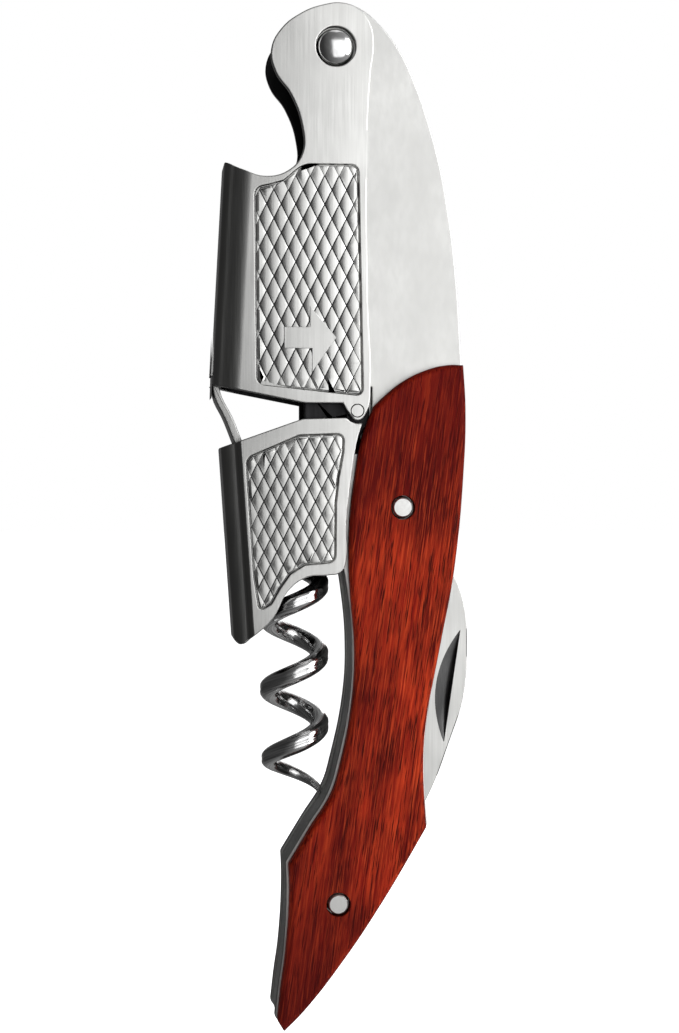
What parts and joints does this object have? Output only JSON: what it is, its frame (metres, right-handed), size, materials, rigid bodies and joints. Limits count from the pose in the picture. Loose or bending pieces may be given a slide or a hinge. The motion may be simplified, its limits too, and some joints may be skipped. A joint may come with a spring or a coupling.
{
  "type": "waiters corkscrew",
  "caption": "Folding double-lever waiter's corkscrew with wood scales, a coiled worm, a crown-cap opener and a folding foil knife.",
  "frame": {"origin": "centre of the closed corkscrew's box", "axes": "+Z from the tail to the head, +X from the levers and worm towards the knife, +Y through the handle's thickness, away from the front scale"},
  "size_m": [0.0318, 0.0128, 0.1254],
  "materials": {
    "satin_steel": "satin",
    "bright_steel": "semi-gloss",
    "polished_steel": "polished",
    "red_wood": "satin"
  },
  "bodies": {
    "handle": {"liner_front": "satin_steel", "liner_back": "satin_steel", "head_spacer": "satin_steel", "back_strip": "satin_steel", "scale_front": "red_wood", "scale_back": "red_wood", "upper_rivet": "bright_steel", "knife_rivet": "bright_steel", "strip_pin_upper": "bright_steel", "strip_pin_middle": "bright_steel", "strip_pin_tail": "bright_steel", "head_pin": "polished_steel", "knife_spacer_front": "bright_steel", "knife_spacer_back": "bright_steel"},
    "lever": {"lever_first": "satin_steel", "lever_hinge_pin": "bright_steel"},
    "second_lever": {"lever_second": "satin_steel"},
    "worm_screw": {"worm": "polished_steel", "worm_axle": "bright_steel"},
    "knife": {"knife_blade": "bright_steel"}
  },
  "joints": [
    {"name": "lever_hinge", "type": "hinge", "parent": "handle", "child": "lever", "pos_m": [-0.00099, 0, 0.05719], "axis": [0, 1, 0], "range_deg": [0, 180]},
    {"name": "second_lever_hinge", "type": "hinge", "parent": "lever", "child": "second_lever", "pos_m": [0.00166, 0, 0.01299], "axis": [0, 1, 0], "range_deg": [0, 10]},
    {"name": "worm_hinge", "type": "hinge", "parent": "handle", "child": "worm_screw", "pos_m": [-0.00564, 0, 0.00379], "axis": [0, 1, 0], "range_deg": [0, 90]},
    {"name": "knife_hinge", "type": "hinge", "parent": "handle", "child": "knife", "pos_m": [-0.00074, 0, -0.04721], "axis": [0, 1, 0], "range_deg": [0, 150]}
  ],
  "couplings": [
    {"joint": "worm_hinge", "follows": "lever_hinge", "ratio": 0.5}
  ]
}
